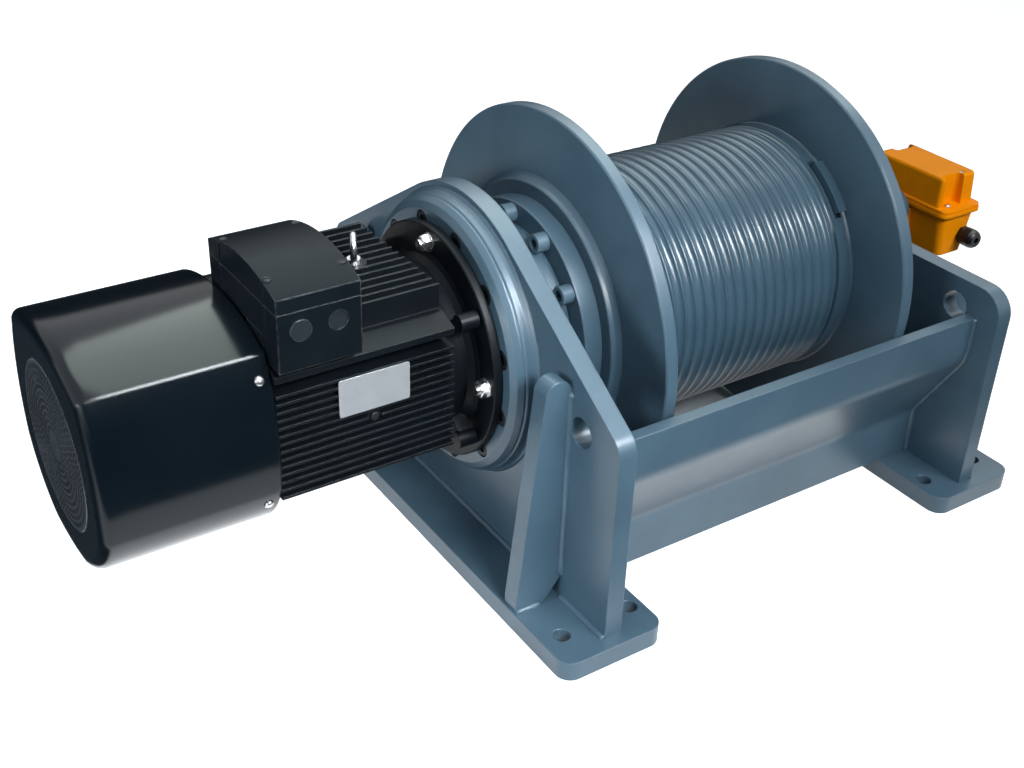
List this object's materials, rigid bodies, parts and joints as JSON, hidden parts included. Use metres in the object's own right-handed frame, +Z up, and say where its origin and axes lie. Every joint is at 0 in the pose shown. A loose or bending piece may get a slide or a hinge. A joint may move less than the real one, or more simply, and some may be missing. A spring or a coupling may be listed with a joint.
{
  "type": "electric winch",
  "caption": "Electric winch: grooved drum with an internal planetary gearbox between welded side plates, flange brake motor at the left, geared limit switch at the right.",
  "frame": {"origin": "under the feet, midway between the side plates and below the drum axis", "axes": "+X along the drum axis from the motor to the limit switch, +Z up, -Y the front with the terminal box"},
  "size_m": [1.376, 0.704, 0.544],
  "materials": {
    "grey_paint": "semi-gloss blue-grey machine paint over welded steel",
    "motor_black": "satin black enamel over cast iron",
    "cowl_black": "fine textured black powder coat over pressed sheet",
    "painted_screws": "screws painted with the part that they hold",
    "steel": "machined bare steel",
    "zinc_screws": "bright zinc plate",
    "plate_metal": "satin aluminium, blank",
    "copper": "varnished copper windings",
    "fan_plastic": "matt black moulding",
    "block_plastic": "brown moulding",
    "switch_orange": "orange powder coat over die casting",
    "gland_plastic": "matt black nylon"
  },
  "bodies": {
    "frame": {"side_plate_left": "grey_paint", "side_plate_right": "grey_paint", "foot_left": "grey_paint", "foot_right": "grey_paint", "gussets": "grey_paint", "crossmember_front": "grey_paint", "crossmember_rear": "grey_paint", "mounting_ring": "grey_paint", "gearbox_spindle": "grey_paint", "flange_screws": "zinc_screws", "drum_bearings": "steel", "motor_flange_shield": "motor_black", "flange_stud_nuts": "zinc_screws", "motor_frame": "motor_black", "stator_core": "steel", "stator_windings": "copper", "fan_end_shield": "motor_black", "motor_bearings": "steel", "brake_magnet": "steel", "fan_cowl": "cowl_black", "fan_grille": "cowl_black", "cowl_screws": "zinc_screws", "terminal_box": "motor_black", "terminal_lid": "motor_black", "lid_screws": "painted_screws", "entry_plugs": "painted_screws", "terminal_block": "block_plastic", "eyebolt": "zinc_screws", "name_plate": "plate_metal", "earth_screw": "zinc_screws", "bearing_housing": "grey_paint", "bearing_bolts": "zinc_screws", "switch_bracket": "grey_paint", "switch_base": "switch_orange", "switch_cover": "switch_orange", "switch_screws": "zinc_screws", "cable_gland": "gland_plastic"},
    "drum": {"drum_barrel": "grey_paint", "drum_flange_left": "grey_paint", "drum_flange_right": "grey_paint", "stiffener_disc": "grey_paint", "gear_housing": "grey_paint", "ring_gear": "steel", "housing_screws": "painted_screws", "end_shaft": "steel", "rope_wedge": "steel"},
    "rotor": {"motor_shaft": "steel", "sun_shaft": "steel", "rotor_core": "steel", "fan": "fan_plastic", "brake_disc": "steel"},
    "input_carrier": {"first_carrier": "steel"},
    "input_planet_a": {"first_planet_a": "steel"},
    "input_planet_b": {"first_planet_b": "steel"},
    "input_planet_c": {"first_planet_c": "steel"},
    "output_gear_a": {"output_planet_a": "steel"},
    "output_gear_b": {"output_planet_b": "steel"},
    "output_gear_c": {"output_planet_c": "steel"},
    "cams": {"cam_shaft": "steel"},
    "armature": {"brake_armature": "steel"}
  },
  "joints": [
    {"name": "drum_spin", "type": "hinge", "parent": "frame", "child": "drum", "pos_m": [0, 0, 0.28], "axis": [1, 0, 0], "continuous": true},
    {"name": "motor_spin", "type": "hinge", "parent": "frame", "child": "rotor", "pos_m": [0, 0, 0.28], "axis": [1, 0, 0], "continuous": true},
    {"name": "input_carrier_spin", "type": "hinge", "parent": "frame", "child": "input_carrier", "pos_m": [0, 0, 0.28], "axis": [1, 0, 0], "continuous": true},
    {"name": "input_planet_a_spin", "type": "hinge", "parent": "input_carrier", "child": "input_planet_a", "pos_m": [0, 0.063, 0.28], "axis": [1, 0, 0], "continuous": true},
    {"name": "input_planet_b_spin", "type": "hinge", "parent": "input_carrier", "child": "input_planet_b", "pos_m": [0, -0.0315, 0.33456], "axis": [1, 0, 0], "continuous": true},
    {"name": "input_planet_c_spin", "type": "hinge", "parent": "input_carrier", "child": "input_planet_c", "pos_m": [0, -0.0315, 0.22544], "axis": [1, 0, 0], "continuous": true},
    {"name": "output_gear_a_spin", "type": "hinge", "parent": "frame", "child": "output_gear_a", "pos_m": [0, 0.063, 0.28], "axis": [1, 0, 0], "continuous": true},
    {"name": "output_gear_b_spin", "type": "hinge", "parent": "frame", "child": "output_gear_b", "pos_m": [0, -0.0315, 0.33456], "axis": [1, 0, 0], "continuous": true},
    {"name": "output_gear_c_spin", "type": "hinge", "parent": "frame", "child": "output_gear_c", "pos_m": [0, -0.0315, 0.22544], "axis": [1, 0, 0], "continuous": true},
    {"name": "cam_spin", "type": "hinge", "parent": "frame", "child": "cams", "pos_m": [0.507, 0, 0.3043], "axis": [0, 1, 0], "continuous": true},
    {"name": "brake_release", "type": "slide", "parent": "frame", "child": "armature", "axis": [-1, 0, 0], "range_m": [0, 0.0005]}
  ],
  "couplings": [
    {"joint": "motor_spin", "follows": "drum_spin", "ratio": -35},
    {"joint": "input_carrier_spin", "follows": "drum_spin", "ratio": -5},
    {"joint": "input_planet_a_spin", "follows": "drum_spin", "ratio": 15},
    {"joint": "input_planet_b_spin", "follows": "drum_spin", "ratio": 15},
    {"joint": "input_planet_c_spin", "follows": "drum_spin", "ratio": 15},
    {"joint": "output_gear_a_spin", "follows": "drum_spin", "ratio": 2.5},
    {"joint": "output_gear_b_spin", "follows": "drum_spin", "ratio": 2.5},
    {"joint": "output_gear_c_spin", "follows": "drum_spin", "ratio": 2.5},
    {"joint": "cam_spin", "follows": "drum_spin", "ratio": 0.02}
  ]
}
